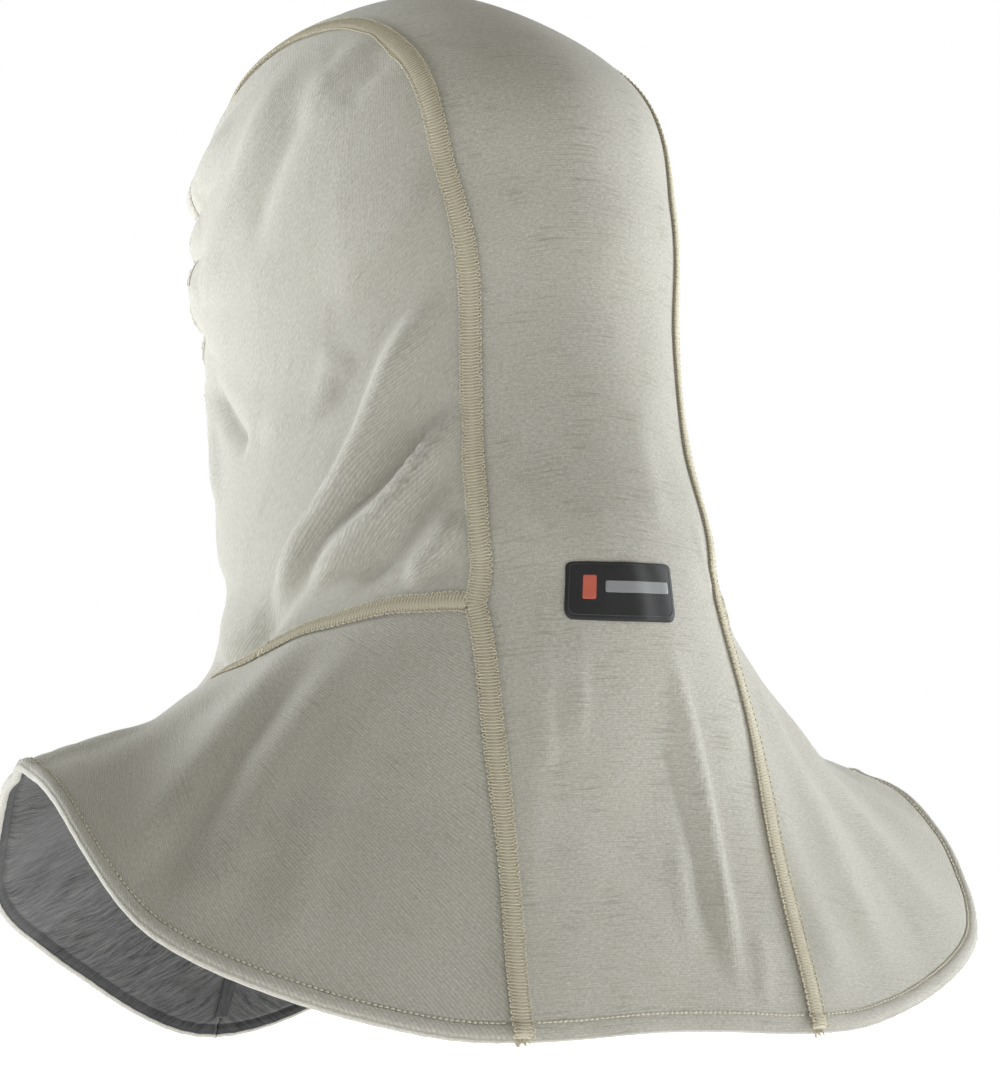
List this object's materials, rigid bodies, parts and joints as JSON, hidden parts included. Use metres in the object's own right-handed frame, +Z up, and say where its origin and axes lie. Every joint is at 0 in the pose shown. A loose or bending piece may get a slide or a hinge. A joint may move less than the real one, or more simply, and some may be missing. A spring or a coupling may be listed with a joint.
{
  "type": "smoke hood",
  "caption": "Knitted particulate-blocking hood with an oval elasticated face opening, a long neck and a wide shoulder bib, standing as worn.",
  "frame": {"origin": "inside of the crown, where the hood rests on the head", "axes": "+Z up, the face opening looks along -Y, the wearer's left is +X"},
  "size_m": [0.4195, 0.347, 0.4389],
  "materials": {
    "outer_knit": "matte fine-rib knit",
    "barrier_sheet": "smooth non-woven membrane",
    "lining_knit": "grey melange knit",
    "seam_thread": "cream cover-stitch thread",
    "inner_thread": "grey looper thread",
    "elastic_rubber": "covered elastic",
    "label_film": "heat-sealed film",
    "label_ink_grey": "print",
    "label_ink_coral": "print",
    "care_tape": "woven satin tape"
  },
  "bodies": {
    "hood": {"strip_outer": "outer_knit", "left_side_outer": "outer_knit", "left_bib_outer": "outer_knit", "right_side_outer": "outer_knit", "right_bib_outer": "outer_knit", "strip_barrier": "barrier_sheet", "left_side_barrier": "barrier_sheet", "left_bib_barrier": "barrier_sheet", "right_side_barrier": "barrier_sheet", "right_bib_barrier": "barrier_sheet", "strip_lining": "lining_knit", "left_side_lining": "lining_knit", "left_bib_lining": "lining_knit", "right_side_lining": "lining_knit", "right_bib_lining": "lining_knit", "left_long_seam": "seam_thread", "left_shoulder_seam": "seam_thread", "right_long_seam": "seam_thread", "right_shoulder_seam": "seam_thread", "chin_seam": "seam_thread", "front_bib_seam": "seam_thread", "left_long_seam_inner": "inner_thread", "left_shoulder_seam_inner": "inner_thread", "right_long_seam_inner": "inner_thread", "right_shoulder_seam_inner": "inner_thread", "chin_seam_inner": "inner_thread", "front_bib_seam_inner": "inner_thread", "face_binding": "outer_knit", "face_elastic": "elastic_rubber", "face_binding_stitch": "seam_thread", "hem_stitch_back": "seam_thread", "hem_stitch_left": "seam_thread", "hem_stitch_right": "seam_thread", "back_label": "label_film", "label_print_bar": "label_ink_grey", "label_print_accent": "label_ink_coral", "care_label_stitch": "seam_thread"},
    "care_label": {"care_label": "care_tape"}
  },
  "joints": [
    {"name": "care_label_hinge", "type": "hinge", "parent": "hood", "child": "care_label", "pos_m": [0, 0.15522, -0.29729], "axis": [-1, 0, 0], "range_deg": [0, 110]}
  ]
}
